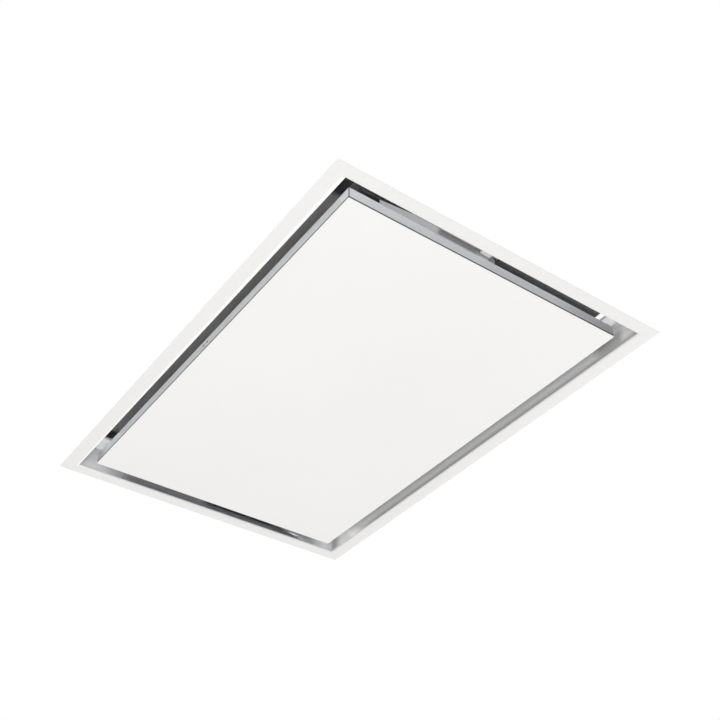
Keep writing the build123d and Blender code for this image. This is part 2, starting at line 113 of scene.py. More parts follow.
def remap(nt, fac, a, b, lo=0.0, hi=1.0):
    r = nt.nodes.new("ShaderNodeMapRange")
    r.inputs["From Min"].default_value = lo
    r.inputs["From Max"].default_value = hi
    r.inputs["To Min"].default_value = a
    r.inputs["To Max"].default_value = b
    nt.links.new(fac, r.inputs["Value"])
    return r.outputs["Result"]


def bump(nt, bsdf, height, strength, distance, prev=None):
    b = nt.nodes.new("ShaderNodeBump")
    b.inputs["Strength"].default_value = strength
    b.inputs["Distance"].default_value = distance
    nt.links.new(height, b.inputs["Height"])
    if prev is not None:
        nt.links.new(prev, b.inputs["Normal"])
    nt.links.new(b.outputs["Normal"], bsdf.inputs["Normal"])
    return b.outputs["Normal"]


def white_paint(name, base=0.84, strip=None):
    """Powder coat with fine orange peel. strip is how much brighter the coat is painted along the
    inner edge of the flange's front side, a painted highlight that widens from the left end to the right end."""
    m, nt, b = new_mat(name)
    v = coords(nt)
    big = noise_tex(nt, v, 3.0, 2.0)
    col = ramp(nt, big, [(0.3, (base - 0.002, base - 0.008, base - 0.020)), (0.7, (base + 0.008, base + 0.003, base - 0.006))])
    # painted highlight: the coat is painted brighter in a thin strip along the flange's front inner edge
    if strip:
        sep = nt.nodes.new("ShaderNodeSeparateXYZ")
        nt.links.new(v, sep.inputs[0])
        k = nt.nodes.new("ShaderNodeMath")
        k.operation = "MULTIPLY_ADD"
        nt.links.new(sep.outputs[0], k.inputs[0])
        k.inputs[1].default_value = 0.0026
        nt.links.new(sep.outputs[1], k.inputs[2])
        inside = remap(nt, k.outputs[0], 0.0, 1.0, -0.3153, -0.3143)
        outside = remap(nt, sep.outputs[1], 1.0, 0.0, -0.3085, -0.307)
        ab = nt.nodes.new("ShaderNodeMath")
        ab.operation = "ABSOLUTE"
        nt.links.new(sep.outputs[0], ab.inputs[0])
        mul0 = nt.nodes.new("ShaderNodeMath")
        mul0.operation = "MULTIPLY"
        nt.links.new(inside, mul0.inputs[0])
        nt.links.new(outside, mul0.inputs[1])
        mul = nt.nodes.new("ShaderNodeMath")
        mul.operation = "MULTIPLY"
        nt.links.new(mul0.outputs[0], mul.inputs[0])
        nt.links.new(remap(nt, ab.outputs[0], 1.0, 0.0, 0.4745, 0.4765), mul.inputs[1])
        sc = nt.nodes.new("ShaderNodeVectorMath")
        sc.operation = "SCALE"
        nt.links.new(col, sc.inputs[0])
        nt.links.new(remap(nt, mul.outputs[0], 1.0, strip), sc.inputs["Scale"])
        col = sc.outputs[0]
    nt.links.new(col, b.inputs["Base Color"])
    fine = noise_tex(nt, v, 900.0, 2.0)
    nt.links.new(remap(nt, fine, 0.40, 0.50, 0.3, 0.7), b.inputs["Roughness"])
    bump(nt, b, fine, 0.10, 0.00008)
    b.inputs["Specular IOR Level"].default_value = 0.45
    return m


def steel(name, tone=(0.62, 0.62, 0.63), rough=(0.24, 0.36), along="ring", contrast=0.10, metallic=1.0, bumpy=0.12, painted_shade_low_z=None, matt_y=None, ends=False, long_wall_painted_light=False):
    """Brushed sheet. The grain runs round the walls, or along X or Y on flat sheet.
    painted_shade_low_z paints shade into the sheet below the heights given, darkest where it meets the bend: a painted
    contact shadow.
    matt_y makes it more matt beyond the distance given from the middle.
    ends paints shade into the sheet: it is painted darker towards its rear and its left end, towards the two corners
    that the long sides share with the ends.
    long_wall_painted_light gives a wall that is painted brighter upwards and painted darker at its left end, painted
    light and shade, and closer to a mirror at its right end."""
    m, nt, b = new_mat(name)
    scale = {"ring": (5, 5, 900), "x": (6, 900, 900), "y": (900, 6, 900)}[along]
    v = coords(nt)
    fine = noise_tex(nt, coords(nt, scale), 1.0, 4.0, 0.65)
    scale2 = {"ring": (2, 2, 240), "x": (2, 240, 240), "y": (240, 2, 240)}[along]
    wide = noise_tex(nt, coords(nt, scale2), 1.0, 2.0, 0.5)
    mix = nt.nodes.new("ShaderNodeMath")
    mix.operation = "ADD"
    nt.links.new(fine, mix.inputs[0])
    nt.links.new(wide, mix.inputs[1])
    half = remap(nt, mix.outputs[0], 0.0, 1.0, 0.65, 1.35)
    lo = tuple(max(0.0, t - contrast) for t in tone)
    hi = tuple(min(1.0, t + contrast * 0.6) for t in tone)
    col = ramp(nt, half, [(0.15, lo), (0.85, hi)])
    # painted shade: darker towards the bottom and much darker on the bottom bend, a painted contact shadow
    if painted_shade_low_z is not None:
        sep = nt.nodes.new("ShaderNodeSeparateXYZ")
        nt.links.new(v, sep.inputs[0])
        km = nt.nodes.new("ShaderNodeMath")
        km.operation = "MULTIPLY"
        nt.links.new(remap(nt, sep.outputs[2], 0.80, 1.0, painted_shade_low_z[0], painted_shade_low_z[1]), km.inputs[0])
        nt.links.new(remap(nt, sep.outputs[2], 0.12, 1.0, painted_shade_low_z[2], painted_shade_low_z[3]), km.inputs[1])
        sc = nt.nodes.new("ShaderNodeVectorMath")
        sc.operation = "SCALE"
        nt.links.new(col, sc.inputs[0])
        nt.links.new(km.outputs[0], sc.inputs["Scale"])
        col = sc.outputs[0]
    if ends:
        # painted shade: the sheet is painted darker towards the rear and towards the left end
        sep = nt.nodes.new("ShaderNodeSeparateXYZ")
        nt.links.new(v, sep.inputs[0])
        far = remap(nt, sep.outputs[1], 0.0, 1.0, 0.150, 0.275)
        near = remap(nt, sep.outputs[0], 1.0, 0.0, -0.445, -0.405)
        both = nt.nodes.new("ShaderNodeMath")
        both.operation = "MAXIMUM"
        nt.links.new(far, both.inputs[0])
        nt.links.new(near, both.inputs[1])
        sc = nt.nodes.new("ShaderNodeVectorMath")
        sc.operation = "SCALE"
        nt.links.new(col, sc.inputs[0])
        nt.links.new(remap(nt, both.outputs[0], 1.0, 0.42), sc.inputs["Scale"])
        col = sc.outputs[0]
        # the closed seam down each folded corner: a dark line that is partly the seam's own colour and partly painted
        # shade of the shadow gap in the corner
        seam_and_shade = []
        for axis, lo_, hi_ in ((0, 0.4440, 0.4447), (1, 0.2810, 0.2817)):
            a_ = nt.nodes.new("ShaderNodeMath")
            a_.operation = "ABSOLUTE"
            nt.links.new(sep.outputs[axis], a_.inputs[0])
            seam_and_shade.append(remap(nt, a_.outputs[0], 0.0, 1.0, lo_, hi_))
        corner = nt.nodes.new("ShaderNodeMath")
        corner.operation = "MULTIPLY"
        nt.links.new(seam_and_shade[0], corner.inputs[0])
        nt.links.new(seam_and_shade[1], corner.inputs[1])
        sc = nt.nodes.new("ShaderNodeVectorMath")
        sc.operation = "SCALE"
        nt.links.new(col, sc.inputs[0])
        nt.links.new(remap(nt, corner.outputs[0], 1.0, 0.34), sc.inputs["Scale"])
        col = sc.outputs[0]
    nt.links.new(col, b.inputs["Base Color"])
    nt.links.new(remap(nt, half, rough[0], rough[1]), b.inputs["Roughness"])
    b.inputs["Metallic"].default_value = metallic
    if long_wall_painted_light:
        sx = nt.nodes.new("ShaderNodeSeparateXYZ")
        nt.links.new(v, sx.inputs[0])
        mm = nt.nodes.new("ShaderNodeMath")
        mm.operation = "MAXIMUM"
        zone = nt.nodes.new("ShaderNodeMath")
        zone.operation = "MULTIPLY"
        nt.links.new(remap(nt, sx.outputs[0], 0.0, 0.50, 0.355, 0.385), zone.inputs[0])
        nt.links.new(remap(nt, sx.outputs[0], 1.0, 0.0, 0.432, 0.450), zone.inputs[1])
        nt.links.new(zone.outputs[0], mm.inputs[0])
        low = nt.nodes.new("ShaderNodeMath")
        low.operation = "MULTIPLY"
        nt.links.new(remap(nt, sx.outputs[2], 0.60, metallic, 0.006, 0.019), low.inputs[0])
        nt.links.new(remap(nt, sx.outputs[0], 0.0, 1.0, -0.400, -0.300), low.inputs[1])
        nt.links.new(low.outputs[0], mm.inputs[1])
        nt.links.new(mm.outputs[0], b.inputs["Metallic"])
        # painted shade: the wall is painted darker towards its left end, by the corner
        end = remap(nt, sx.outputs[0], 0.45, 1.0, -0.462, -0.440)
        # painted light: the wall is painted brighter towards its top
        painted_light_rise = remap(nt, sx.outputs[2], 0.90, 1.0, 0.010, 0.026)
        tm = nt.nodes.new("ShaderNodeMath")
        tm.operation = "MULTIPLY"
        nt.links.new(end, tm.inputs[0])
        upper = nt.nodes.new("ShaderNodeMath")
        upper.operation = "MULTIPLY"
        nt.links.new(painted_light_rise, upper.inputs[0])
        nt.links.new(remap(nt, sx.outputs[2], 1.0, 1.04, 0.020, 0.040), upper.inputs[1])
        nt.links.new(upper.outputs[0], tm.inputs[1])
        sc = nt.nodes.new("ShaderNodeVectorMath")
        sc.operation = "SCALE"
        nt.links.new(col, sc.inputs[0])
        nt.links.new(tm.outputs[0], sc.inputs["Scale"])
        nt.links.new(sc.outputs[0], b.inputs["Base Color"])
    if matt_y is not None:
        sy = nt.nodes.new("ShaderNodeSeparateXYZ")
        nt.links.new(v, sy.inputs[0])
        off = nt.nodes.new("ShaderNodeMath")
        off.operation = "SUBTRACT"
        nt.links.new(sy.outputs[1], off.inputs[0])
        off.inputs[1].default_value = 0.02
        ab = nt.nodes.new("ShaderNodeMath")
        ab.operation = "ABSOLUTE"
        nt.links.new(off.outputs[0], ab.inputs[0])
        nt.links.new(remap(nt, ab.outputs[0], metallic, matt_y[2], matt_y[0], matt_y[1]), b.inputs["Metallic"])
    if long_wall_painted_light or matt_y is not None:
        # the faces towards the ceiling void are plain mill-finish sheet
        so = nt.nodes.new("ShaderNodeSeparateXYZ")
        nt.links.new(v, so.inputs[0])
        aa = nt.nodes.new("ShaderNodeMath")
        aa.operation = "ABSOLUTE"
        nt.links.new(so.outputs[1 if long_wall_painted_light else 0], aa.inputs[0])
        lim = (0.3152, 0.3156) if long_wall_painted_light else (0.4773, 0.4776)
        # the short walls lean inwards above 30 mm
        lean = nt.nodes.new("ShaderNodeMath")
        lean.operation = "MULTIPLY_ADD"
        nt.links.new(remap(nt, so.outputs[2], 0.0, 0.016, 0.030, 0.046), lean.inputs[0])
        lean.inputs[1].default_value = 0.0 if long_wall_painted_light else 0.7625
        nt.links.new(aa.outputs[0], lean.inputs[2])
        outer = remap(nt, lean.outputs[0], 0.0, 1.0, *lim)
        old_m = b.inputs["Metallic"].links[0].from_socket
        mo = nt.nodes.new("ShaderNodeMix")
        nt.links.new(outer, mo.inputs["Factor"])
        nt.links.new(old_m, mo.inputs[2])
        mo.inputs[3].default_value = 0.45
        nt.links.new(mo.outputs[0], b.inputs["Metallic"])
        old_c = b.inputs["Base Color"].links[0].from_socket
        co = nt.nodes.new("ShaderNodeMix")
        co.data_type = "RGBA"
        nt.links.new(outer, co.inputs["Factor"])
        nt.links.new(old_c, co.inputs[6])
        nt.links.new(ramp(nt, half, [(0.15, (0.52, 0.525, 0.53)), (0.85, (0.62, 0.62, 0.625))]), co.inputs[7])
        nt.links.new(co.outputs[2], b.inputs["Base Color"])
        old_r = b.inputs["Roughness"].links[0].from_socket
        ro = nt.nodes.new("ShaderNodeMix")
        nt.links.new(outer, ro.inputs["Factor"])
        nt.links.new(old_r, ro.inputs[2])
        nt.links.new(remap(nt, half, 0.55, 0.66), ro.inputs[3])
        nt.links.new(ro.outputs[0], b.inputs["Roughness"])
    bump(nt, b, fine, bumpy, 0.00005)
    return m


def polished(name):
    """Mirror finish near the short sides, satin between them."""
    m, nt, b = new_mat(name)
    v = coords(nt)
    wave = noise_tex(nt, v, 9.0, 2.0)
    smear = noise_tex(nt, v, 60.0, 4.0, 0.6)
    tint = ramp(nt, smear, [(0.3, (0.91, 0.912, 0.915)), (0.7, (0.95, 0.952, 0.955))])
    sep = nt.nodes.new("ShaderNodeSeparateXYZ")
    nt.links.new(v, sep.inputs[0])
    patch = noise_tex(nt, coords(nt, (1.0, 5.0, 1.0)), 14.0, 2.0, 0.5, 0.4)
    left = remap(nt, sep.outputs[0], 0.0, 1.0, -0.392, -0.375)
    lean = nt.nodes.new("ShaderNodeMath")
    lean.operation = "MULTIPLY_ADD"
    nt.links.new(sep.outputs[1], lean.inputs[0])
    lean.inputs[1].default_value = -0.0714
    nt.links.new(sep.outputs[0], lean.inputs[2])
    right_ = remap(nt, lean.outputs[0], 1.0, 0.0, 0.420, 0.430)
    dull = nt.nodes.new("ShaderNodeMath")
    dull.operation = "MULTIPLY"
    nt.links.new(left, dull.inputs[0])
    nt.links.new(right_, dull.inputs[1])
    corner = nt.nodes.new("ShaderNodeMath")
    corner.operation = "MULTIPLY"
    nt.links.new(dull.outputs[0], corner.inputs[0])
    nt.links.new(remap(nt, sep.outputs[1], 1.0, 0.0, 0.258, 0.264), corner.inputs[1])
    mul = nt.nodes.new("ShaderNodeMath")
    mul.operation = "MULTIPLY"
    nt.links.new(corner.outputs[0], mul.inputs[0])
    nt.links.new(remap(nt, patch, 0.75, 1.0, 0.35, 0.65), mul.inputs[1])
    nt.links.new(remap(nt, mul.outputs[0], 1.0, 0.56), b.inputs["Metallic"])
    sc = nt.nodes.new("ShaderNodeVectorMath")
    sc.operation = "SCALE"
    nt.links.new(tint, sc.inputs[0])
    nt.links.new(remap(nt, mul.outputs[0], 1.0, 0.66), sc.inputs["Scale"])
    nt.links.new(sc.outputs[0], b.inputs["Base Color"])
    nt.links.new(remap(nt, smear, 0.05, 0.12, 0.3, 0.7), b.inputs["Roughness"])
    bump(nt, b, wave, 0.15, 0.0006)
    return m


def galvanised(name, tone=1.0, spangle=120.0):
    """Zinc-coated sheet; sheets from different coils differ a little in tone and in the size of their spangle."""
    m, nt, b = new_mat(name)
    v = coords(nt)
    vor = nt.nodes.new("ShaderNodeTexVoronoi")
    vor.inputs["Scale"].default_value = spangle
    vor.inputs["Randomness"].default_value = 1.0
    warp = nt.nodes.new("ShaderNodeVectorMath")
    warp.operation = "ADD"
    wn = nt.nodes.new("ShaderNodeTexNoise")
    wn.inputs["Scale"].default_value = 60.0
    nt.links.new(v, wn.inputs["Vector"])
    sc = nt.nodes.new("ShaderNodeVectorMath")
    sc.operation = "SCALE"
    sc.inputs["Scale"].default_value = 0.012
    nt.links.new(wn.outputs["Color"], sc.inputs[0])
    nt.links.new(v, warp.inputs[0])
    nt.links.new(sc.outputs[0], warp.inputs[1])
    nt.links.new(warp.outputs[0], vor.inputs["Vector"])
    sep = nt.nodes.new("ShaderNodeSeparateColor")
    nt.links.new(vor.outputs["Color"], sep.inputs[0])
    cell = sep.outputs[0]
    cloud = noise_tex(nt, v, 7.0, 3.0)
    mix = nt.nodes.new("ShaderNodeMath")
    mix.operation = "MULTIPLY_ADD"
    nt.links.new(cell, mix.inputs[0])
    mix.inputs[1].default_value = 0.55
    nt.links.new(cloud, mix.inputs[2])
    f = remap(nt, mix.outputs[0], 0.0, 1.0, 0.3, 1.25)
    nt.links.new(ramp(nt, f, [(0.0, tuple(tone * c for c in (0.50, 0.515, 0.53))), (0.5, tuple(tone * c for c in (0.56, 0.575, 0.585))), (1.0, tuple(tone * c for c in (0.64, 0.655, 0.665)))]), b.inputs["Base Color"])
    nt.links.new(remap(nt, f, 0.72, 0.56), b.inputs["Roughness"])
    b.inputs["Metallic"].default_value = 0.5
    fine = noise_tex(nt, v, 500.0, 2.0)
    bump(nt, b, fine, 0.12, 0.0001)
    return m


def plated(name, tone=(0.66, 0.67, 0.68), rough=(0.22, 0.38), metallic=1.0):
    """Small bright plated or drawn metal pieces with faint handling marks."""
    m, nt, b = new_mat(name)
    v = coords(nt)
    f = noise_tex(nt, v, 140.0, 5.0, 0.6, 0.3)
    d = tuple(t * 0.86 for t in tone)
    nt.links.new(ramp(nt, f, [(0.25, d), (0.75, tone)]), b.inputs["Base Color"])
    nt.links.new(remap(nt, f, rough[1], rough[0], 0.25, 0.75), b.inputs["Roughness"])
    b.inputs["Metallic"].default_value = metallic
    g = noise_tex(nt, v, 700.0, 2.0)
    bump(nt, b, g, 0.08, 0.0001)
    return m


def plastic(name, tone, rough=(0.38, 0.55), grain=1200.0, strength=0.2, spread=0.12):
    m, nt, b = new_mat(name)
    v = coords(nt)
    f = noise_tex(nt, v, 40.0, 3.0)
    lo = tuple(t * (1 - spread) for t in tone)
    hi = tuple(min(1.0, t * (1 + spread * 0.6)) for t in tone)
    nt.links.new(ramp(nt, f, [(0.3, lo), (0.7, hi)]), b.inputs["Base Color"])
    g = noise_tex(nt, v, grain, 2.0)
    nt.links.new(remap(nt, g, rough[0], rough[1], 0.3, 0.7), b.inputs["Roughness"])
    bump(nt, b, g, strength, 0.0001)
    return m


def felt(name, dark, light, painted_light_fade=None):
    """Felted fibre. painted_light_fade is how much darker and brighter it is painted at the one end and the other, and
    where along Y: painted shade at the front, painted light at the rear.
    """
    m, nt, b = new_mat(name)
    v = coords(nt)
    clump = noise_tex(nt, v, 120.0, 6.0, 0.7, 0.6)
    fibre = noise_tex(nt, coords(nt, (1.0, 2.4, 1.6), (0.3, 0.5, 0.8)), 900.0, 4.0, 0.75, 1.5)
    mix = nt.nodes.new("ShaderNodeMath")
    mix.operation = "MULTIPLY_ADD"
    nt.links.new(fibre, mix.inputs[0])
    mix.inputs[1].default_value = 0.6
    nt.links.new(clump, mix.inputs[2])
    f = remap(nt, mix.outputs[0], 0.0, 1.0, 0.5, 1.1)
    col = ramp(nt, f, [(0.0, dark), (1.0, light)])
    # painted shade towards the front and painted light towards the rear, along Y
    if painted_light_fade:
        sep = nt.nodes.new("ShaderNodeSeparateXYZ")
        nt.links.new(v, sep.inputs[0])
        sc = nt.nodes.new("ShaderNodeVectorMath")
        sc.operation = "SCALE"
        nt.links.new(col, sc.inputs[0])
        nt.links.new(remap(nt, sep.outputs[1], *painted_light_fade), sc.inputs["Scale"])
        col = sc.outputs[0]
    nt.links.new(col, b.inputs["Base Color"])
    nt.links.new(remap(nt, f, 0.95, 0.85), b.inputs["Roughness"])
    b.inputs["Sheen Weight"].default_value = 0.3
    b.inputs["Sheen Roughness"].default_value = 0.6
    bump(nt, b, mix.outputs[0], 0.6, 0.0006)
    return m


M = {
    # the flange coat carries a painted highlight along its front inner edge, 1.2 times brighter
    "white_paint": white_paint("white_powder_coat", 0.620, 1.2),
    "panel_paint": white_paint("white_panel_coat", 0.650),
    "brushed_stainless": steel("brushed_stainless", tone=(0.84, 0.84, 0.845), rough=(0.28, 0.40), contrast=0.06, metallic=0.8),
    # the tray sheet carries painted shade: a contact shadow at its bottom bend, shade towards its rear and left end,
    # and partly shade down its folded corners
    "tray_steel": steel("tray_stainless", tone=(0.925, 0.935, 0.955), rough=(0.28, 0.40), contrast=0.04, metallic=0.30, painted_shade_low_z=(0.004, 0.020, 0.0041, 0.0049), ends=True),
    "liner_steel": steel("liner_stainless", tone=(0.84, 0.845, 0.86), rough=(0.08, 0.15), contrast=0.04, metallic=1.0, matt_y=(0.215, 0.275, 0.18)),
    # the long liner walls carry painted light: brighter towards the top, darker at the left end
    "liner_long_steel": steel("liner_long_stainless", tone=(0.955, 0.953, 0.95), rough=(0.07, 0.12), contrast=0.03, metallic=0.14, long_wall_painted_light=True),
    "polished_stainless": polished("polished_stainless"),
    "black_gasket": plastic("black_rubber", (0.022, 0.022, 0.023), (0.6, 0.8), 800.0, 0.35, 0.3),
    # the grey felt is painted darker at the front and brighter at the rear
    "grey_felt": felt("grey_felt", (0.055, 0.055, 0.057), (0.12, 0.12, 0.122), (0.35, 1.6, -0.17, 0.12)),
    "tray_felt": felt("tray_felt", (0.42, 0.42, 0.425), (0.62, 0.62, 0.625)),
    "galvanised_steel": galvanised("galvanised_sheet"),
    "galvanised_lid": galvanised("galvanised_lid_sheet", 0.80, 150.0),
    "galvanised_wall": galvanised("galvanised_wall_sheet", 0.90, 100.0),
    "galvanised_strap": galvanised("galvanised_strap", 0.68, 170.0),
    "zinc_steel": plated("zinc_plated_steel", (0.70, 0.70, 0.71), (0.26, 0.42), 0.8),
    "rivet_dark": plated("rivet_steel", (0.30, 0.30, 0.31), (0.3, 0.5), 0.9),
    "filter_aluminium": plated("filter_aluminium", (0.60, 0.605, 0.61), (0.30, 0.44), 0.9),
    "hinge_steel": plated("hinge_dark_steel", (0.14, 0.14, 0.145), (0.3, 0.45), 0.8),
    "filter_mesh": plated("filter_mesh_metal", (0.66, 0.67, 0.68), (0.28, 0.42), 0.9),
    "white_nylon": plastic("white_nylon", (0.80, 0.80, 0.78), (0.35, 0.5), 900.0, 0.15, 0.03),
    "black_plastic": plastic("black_plastic", (0.028, 0.028, 0.03), (0.35, 0.5), 1500.0, 0.2, 0.2),
    "motor_paint": plastic("motor_enamel", (0.05, 0.052, 0.056), (0.3, 0.45), 600.0, 0.3, 0.2),
    "copper_winding": plated("enamelled_copper", (0.62, 0.29, 0.15), (0.25, 0.4)),
    "capacitor_shell": plastic("capacitor_shell", (0.62, 0.62, 0.6), (0.25, 0.35), 500.0, 0.1, 0.05),
    "circuit_board": plastic("circuit_board", (0.03, 0.13, 0.06), (0.3, 0.5), 300.0, 0.3, 0.35),
}
slot_of = {s["node"]: s["material_slot"] for s in frame["record"]["subparts"]}
node_mat = dict(slot_of)
node_mat["liner_wall_left"] = node_mat["liner_wall_right"] = "liner_steel"
node_mat["liner_wall_front"] = node_mat["liner_wall_rear"] = "liner_long_steel"
node_mat["hinge_brackets"] = "hinge_steel"
for n in ("motor_box_lid", "control_box_cover"):
    node_mat[n] = "galvanised_lid"
for n in ("plenum_front", "plenum_rear", "plenum_left", "plenum_right", "outlet_collar"):
    node_mat[n] = "galvanised_wall"
node_mat["suspension_brackets"] = "galvanised_strap"


def put_mat(o, mat):
    o.data.materials.clear()
    o.data.materials.append(mat)


for n, o in nodes.items():
    for i in range(len(o.material_slots)):
        o.material_slots[i].material = M[node_mat[n]]


# ------------------------------------------------------------------ mesh helpers
def add_object(name, verts, faces, mat, body, smooth=35.0, hides=()):
    me = bpy.data.meshes.new(name)
    me.from_pydata([tuple(v) for v in verts], [], [tuple(f) for f in faces])
    me.validate()
    bm = bmesh.new()
    bm.from_mesh(me)
    bmesh.ops.recalc_face_normals(bm, faces=bm.faces)
    bm.to_mesh(me)
    bm.free()
    for p in me.polygons:
        p.use_smooth = True
    me.set_sharp_from_angle(angle=math.radians(smooth))
    o = bpy.data.objects.new(name, me)
    scene.collection.objects.link(o)
    me.materials.append(M[mat] if isinstance(mat, str) else mat)
    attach(o, body)
    if hides:
        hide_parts(*hides)
    return o


def ring_points(hx, hy, r, seg):
    """A rounded rectangle's outline in millimetres, counter-clockwise."""
    pts = []
    for cx, cy, a0 in ((hx - r, hy - r, 0), (-hx + r, hy - r, 90), (-hx + r, -hy + r, 180), (hx - r, -hy + r, 270)):
        for k in range(seg + 1):
            a = math.radians(a0 + 90 * k / seg)
            pts.append((cx + r * math.cos(a), cy + r * math.sin(a)))
    return pts


def sweep_ring(hx, hy, radius, profile, seg=6, closed=True, wider=lambda d: 0.0):
    """Sweeps a profile of (outward offset, height) round a rounded rectangle.
    radius gives the corner radius for each offset."""
    verts, faces = [], []
    n = 4 * (seg + 1)
    for d, z in profile:
        for x, y in ring_points(hx + d, hy + d + wider(d), max(radius(d), 0.05), seg):
            verts.append((x * MM, y * MM, z * MM))
    k = len(profile)
    for i in range(k if closed else k - 1):
        j = (i + 1) % k
        for a in range(n):
            b = (a + 1) % n
            faces.append((i * n + a, i * n + b, j * n + b, j * n + a))
    return verts, faces, n


def arc(cx, cz, r, a0, a1, n):
    return [(cx + r * math.cos(math.radians(a0 + (a1 - a0) * k / n)), cz + r * math.sin(math.radians(a0 + (a1 - a0) * k / n))) for k in range(n + 1)]


LONG_EDGES = {"motor_box_lid": 3.0, "plenum_top": 3.0, "plenum_front": 2.0, "plenum_rear": 2.0, "plenum_left": 2.0, "plenum_right": 2.0,
              "outlet_collar": 14.0, "panel_stiffener": 2.0, "control_box": 3.0}


def refine(node, width, segments=2, mat=None, angle=40.0):
    """A copy of a CAD node with rounded edges, which stands in its place. Thin sheet keeps the edges of its small holes crisp."""
    src = nodes[node]
    me = src.data.copy()
    me.name = node + "_finished"
    bm = bmesh.new()
    bm.from_mesh(me)
    bmesh.ops.remove_doubles(bm, verts=bm.verts, dist=1e-6)
    bmesh.ops.dissolve_limit(bm, angle_limit=math.radians(0.8), verts=bm.verts, edges=bm.edges)
    bmesh.ops.triangulate(bm, faces=[f for f in bm.faces if len(f.verts) > 4])
    if node in LONG_EDGES:
        soft = bm.edges.layers.float.get("bevel_weight_edge") or bm.edges.layers.float.new("bevel_weight_edge")
        for e in bm.edges:
            if e.is_manifold and e.calc_face_angle() > math.radians(angle) and e.calc_length() > LONG_EDGES[node] * MM:
                e[soft] = 1.0
    bm.to_mesh(me)
    bm.free()
    if hasattr(me, "attributes") and "custom_normal" in me.attributes:
        me.attributes.remove(me.attributes["custom_normal"])
    for p in me.polygons:
        p.use_smooth = True
    me.set_sharp_from_angle(angle=math.radians(angle))
    o = bpy.data.objects.new(node + "_finished", me)
    scene.collection.objects.link(o)
    put_mat(o, M[mat or node_mat[node]])
    bev = o.modifiers.new("edges", "BEVEL")
    bev.width = width * MM
    bev.segments = segments
    bev.limit_method = "WEIGHT" if node in LONG_EDGES else "ANGLE"
    bev.angle_limit = math.radians(angle)
    bev.use_clamp_overlap = True
    bev.harden_normals = True
    bev.miter_outer = "MITER_ARC" if segments > 1 else "MITER_SHARP"
    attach(o, body_of_node[node])
    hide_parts(node)
    return o


# ------------------------------------------------------------------ ceiling flange: bent lip and softly broken outer edge
prof = [(25.0, 1.5), (25.0, 0.5)] + arc(24.5, 0.5, 0.5, 0, -90, 4)[1:]
prof += [(22.0, 0.0), (12.0, 0.0), (5.0, 0.0)]
prof += arc(3.5, 3.5, 3.5, -90, -180, 12)
prof += [(0.0, 3.9)] + arc(0.3, 3.9, 0.3, 180, 90, 3)[1:] + arc(1.2, 3.9, 0.3, 90, 0, 3)
prof += [(1.5, 1.9)] + arc(1.9, 1.9, 0.4, 180, 270, 3)[1:] + [(12.0, 1.5)]
v, f, n = sweep_ring(475.0, 313.0, lambda d: 0.3 if d < 20 else 1.8, prof, seg=8, wider=lambda d: 2.0 if d > 20 else 0.0)
# the face is 4 mm wider along the hinge side
v = [Vector((q[0], q[1] + (4.0 * MM * min(1.0, max(0.0, (0.337 + q[1]) / 0.012)) if q[1] < 0 else 0.0), q[2])) for q in v]
add_object("flange_skin", v, f, "white_paint", "hood_body", 50, ["ceiling_flange"])


# ------------------------------------------------------------------ panel face: flat painted plate with a fine broken edge
def capped(hx, hy, radius, prof, seg):
    v, f, n = sweep_ring(hx, hy, radius, prof, seg=seg, closed=False)
    f.append(tuple(range(n))[::-1])
    f.append(tuple((len(prof) - 1) * n + i for i in range(n)))
    return v, f


p = [(-6.0, 0.0), (-0.4, 0.0)] + arc(-0.4, 0.4, 0.4, -90, 0, 5)[1:] + arc(-0.2, 0.8, 0.2, 0, 90, 2) + [(-6.0, 1.0)]
v, f = capped(446.5, 283.5, lambda d: 1.2 + d * 0.9 if d > -1.3 else 0.1, p, 6)
add_object("panel_face_skin", v, f, "panel_paint", "access_panel", 50, ["panel_face"])

# soft black strip between face and tray, its bulging edge just set back
p = [(-17.7, 1.0), (-0.5, 1.0)] + arc(-1.0, 2.25, 1.0, -60, 60, 5) + [(-0.5, 3.5), (-17.7, 3.5)]
v, f, n = sweep_ring(446.2, 283.2, lambda d: 0.9, p, seg=4)
add_object("gasket_skin", v, f, "black_gasket", "access_panel", 60, ["panel_gasket"])

# ------------------------------------------------------------------ panel tray: folded sheet, round bend at the bottom, safe upper edge
zb, zt = 3.5, 24.0
p = [(-8.0, zb)] + arc(-1.2, zb + 1.2, 1.2, -90, 0, 6) + [(0.0, 8.0), (0.0, 13.0), (0.0, 18.0), (0.0, zt - 0.4)] + arc(-0.4, zt - 0.4, 0.4, 0, 180, 6)[1:]
p += [(-0.8, 18.0), (-0.8, 13.0), (-0.8, 8.0)] + arc(-1.2, zb + 1.2, 0.4, 0, -90, 4) + [(-8.0, zb + 0.8)]
v, f = capped(446.0, 283.0, lambda d: 1.0 if d > -0.7 else 0.2, p, 5)
add_object("tray_skin", v, f, "tray_steel", "access_panel", 50, ["panel_tray"])


